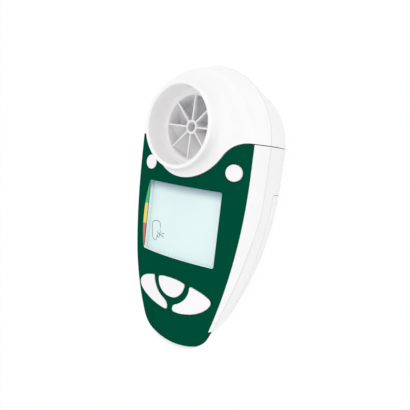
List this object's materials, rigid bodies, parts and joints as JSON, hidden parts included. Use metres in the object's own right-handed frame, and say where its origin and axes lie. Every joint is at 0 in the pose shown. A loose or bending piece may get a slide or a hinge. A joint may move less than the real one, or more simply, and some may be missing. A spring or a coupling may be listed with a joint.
{
  "type": "lung function monitor",
  "caption": "Hand-held teardrop lung function monitor: a removable turbine flowhead with a round mouthpiece socket over a green-faced case with a display and keys.",
  "frame": {"origin": "centre of the footprint on the surface that the unit lies on, back down", "axes": "+Z out of the front face and along the flow tube, +Y from the toe to the flowhead, +X to the unit's right as seen from the front"},
  "size_m": [0.0626, 0.116, 0.043],
  "materials": {
    "white_shell": "satin",
    "white_flowhead": "satin",
    "white_key": "satin",
    "white_frame": "matte",
    "green_fascia": "satin",
    "clear_lens": "gloss",
    "clear_tube": "satin",
    "scale_ink": "satin",
    "display_glass": "gloss",
    "silicone": "matte",
    "switch_body": "matte",
    "circuit_board": "satin",
    "chip_epoxy": "matte",
    "sensor_epoxy": "gloss",
    "cell_jacket": "satin",
    "plated_steel": "satin",
    "grey_stator": "satin",
    "rotor_film": "satin",
    "jewel": "gloss"
  },
  "bodies": {
    "case": {"fascia": "green_fascia", "display_lens": "clear_lens", "colour_scale": "scale_ink", "front_shell": "white_shell", "rear_shell": "white_shell", "key_mat": "silicone", "power_switch": "switch_body", "main_board": "circuit_board", "controller_chip": "chip_epoxy", "buzzer": "chip_epoxy", "lcd_panel": "display_glass", "lcd_frame": "white_frame", "lcd_connectors": "silicone", "ir_emitter": "sensor_epoxy", "ir_detector": "sensor_epoxy", "battery_cell_left": "cell_jacket", "battery_cell_right": "cell_jacket", "battery_contacts": "plated_steel", "battery_springs": "plated_steel", "case_screws": "plated_steel"},
    "flowhead": {"flowhead_front": "white_flowhead", "flowhead_rear": "white_flowhead", "turbine_tube": "clear_tube", "stator_hub": "grey_stator", "stator_ring": "grey_stator", "swirl_vanes": "grey_stator", "rear_stator": "grey_stator", "front_bearing": "jewel", "rear_bearing": "jewel"},
    "rotor": {"rotor_vane": "rotor_film", "rotor_spindle": "plated_steel"},
    "enter": {"enter_key": "white_key"},
    "left": {"left_key": "white_key"},
    "right": {"right_key": "white_key"},
    "power": {"power_button": "white_key"},
    "door": {"battery_door": "white_shell"}
  },
  "joints": [
    {"name": "flowhead_slide", "type": "slide", "parent": "case", "child": "flowhead", "axis": [0, 1, 0], "range_m": [0, 0.03]},
    {"name": "rotor_spin", "type": "hinge", "parent": "flowhead", "child": "rotor", "pos_m": [0, 0.033, 0.02], "axis": [0, 0, 1], "continuous": true},
    {"name": "battery_door_slide", "type": "slide", "parent": "case", "child": "door", "axis": [0, -1, 0], "range_m": [0, 0.012]},
    {"name": "enter_key_press", "type": "slide", "parent": "case", "child": "enter", "axis": [0, 0, -1], "range_m": [0, 0.0007], "stiffness_N_per_m": 900},
    {"name": "left_key_press", "type": "slide", "parent": "case", "child": "left", "axis": [0, 0, -1], "range_m": [0, 0.0007], "stiffness_N_per_m": 900},
    {"name": "right_key_press", "type": "slide", "parent": "case", "child": "right", "axis": [0, 0, -1], "range_m": [0, 0.0007], "stiffness_N_per_m": 900},
    {"name": "power_button_press", "type": "slide", "parent": "case", "child": "power", "axis": [0, 0, -1], "range_m": [0, 0.0007], "stiffness_N_per_m": 900}
  ]
}
